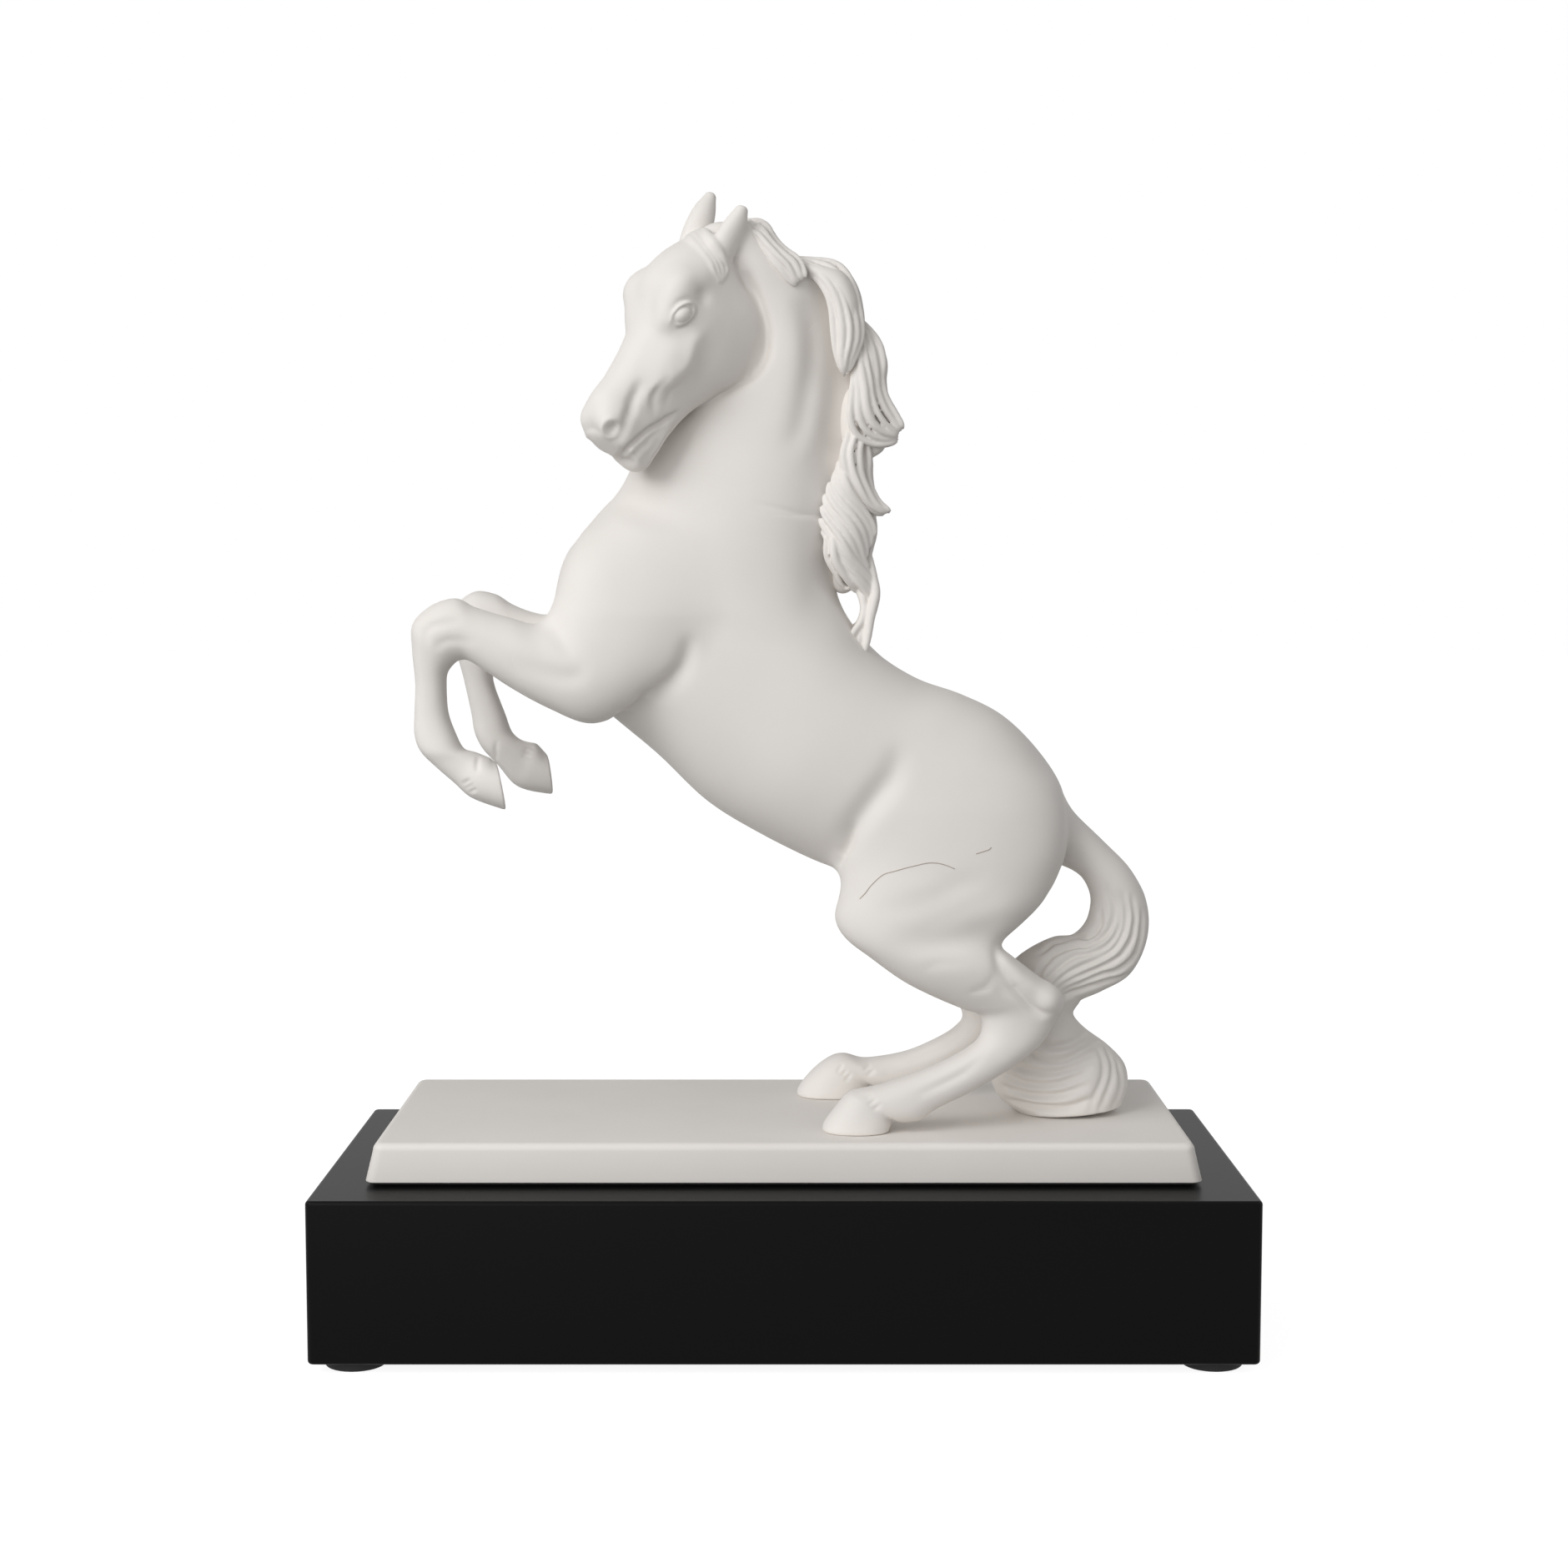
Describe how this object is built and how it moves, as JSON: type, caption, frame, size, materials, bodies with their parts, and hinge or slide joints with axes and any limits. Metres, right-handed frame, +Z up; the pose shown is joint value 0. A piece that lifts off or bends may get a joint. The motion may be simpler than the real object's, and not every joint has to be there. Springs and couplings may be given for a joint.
{
  "type": "rearing horse figurine",
  "caption": "Bisque porcelain figure of a horse rearing on its hind legs and curled tail, on a porcelain slab bolted to a black lacquered wooden base with round feet.",
  "frame": {"origin": "centre of the base's outline, on the plane the four feet stand on", "axes": "+Z up; the horse looks towards -X; its left side, the one usually shown, faces -Y"},
  "size_m": [0.285, 0.128, 0.3571],
  "materials": {
    "porcelain": "unglazed bisque, matte",
    "felt": "felt",
    "lacquered_wood": "black satin lacquer",
    "rubber": "matte",
    "brass": "turned",
    "steel": "zinc plated"
  },
  "bodies": {
    "root": {"trunk_casting": "porcelain", "neck_casting": "porcelain", "head_casting": "porcelain", "left_ear": "porcelain", "right_ear": "porcelain", "forelock": "porcelain", "mane_poll_lock": "porcelain", "mane_upper_lock": "porcelain", "mane_middle_lock": "porcelain", "mane_lower_lock": "porcelain", "left_foreleg": "porcelain", "right_foreleg": "porcelain", "left_hind_leg": "porcelain", "right_hind_leg": "porcelain", "tail_dock": "porcelain", "tail_curl": "porcelain", "porcelain_slab": "porcelain", "bedding_felt": "felt", "base_top_board": "lacquered_wood", "base_front_rail": "lacquered_wood", "base_back_rail": "lacquered_wood", "base_left_end": "lacquered_wood", "base_right_end": "lacquered_wood", "base_bottom_board": "lacquered_wood", "foot_front_left": "rubber", "foot_front_right": "rubber", "foot_back_left": "rubber", "foot_back_right": "rubber", "slab_insert_left": "brass", "slab_insert_right": "brass", "slab_washer_left": "steel", "slab_washer_right": "steel", "slab_bolt_left": "steel", "slab_bolt_right": "steel", "bottom_screw_1": "steel", "bottom_screw_2": "steel", "bottom_screw_3": "steel", "bottom_screw_4": "steel", "bottom_screw_5": "steel", "bottom_screw_6": "steel"}
  },
  "joints": []
}
